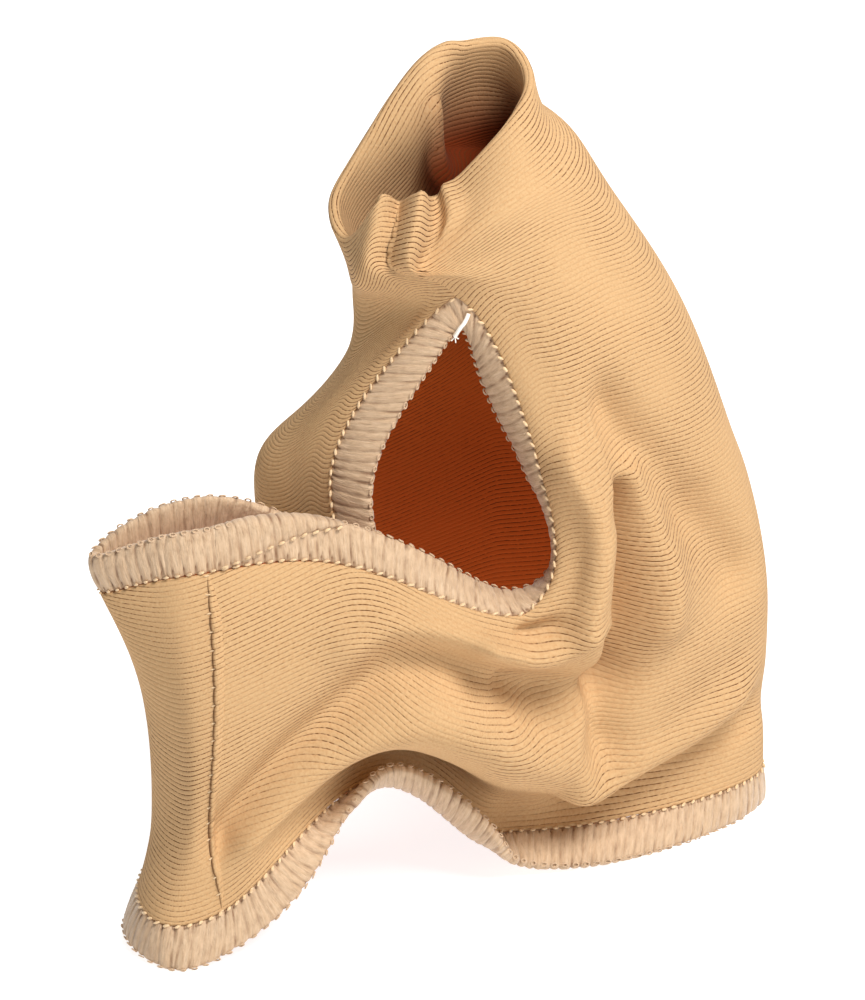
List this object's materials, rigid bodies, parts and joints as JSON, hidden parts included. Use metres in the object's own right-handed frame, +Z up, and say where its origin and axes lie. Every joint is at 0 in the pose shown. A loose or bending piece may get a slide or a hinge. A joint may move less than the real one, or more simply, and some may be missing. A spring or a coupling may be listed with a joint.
{
  "type": "bunion protector",
  "caption": "Thin ribbed elastic sleeve for the forefoot with a tube for the big toe, an open side for the other toes and overlocked edges, standing on its hem.",
  "frame": {"origin": "middle of the bounding box, on the table under the hem", "axes": "+Z up out of the toe tube, -Y the crumpled front of the band, +X the side of the big toe joint"},
  "size_m": [0.0926, 0.0662, 0.1172],
  "materials": {
    "beige_knit": "matt beige elastic knit with fine ribs round the sleeve",
    "overlock_thread": "woolly pale beige overlock thread, wound over the raw edge"
  },
  "bodies": {
    "root": {"knit_sleeve": "beige_knit", "toe_opening_binding": "overlock_thread", "foot_opening_binding": "overlock_thread"}
  },
  "joints": []
}
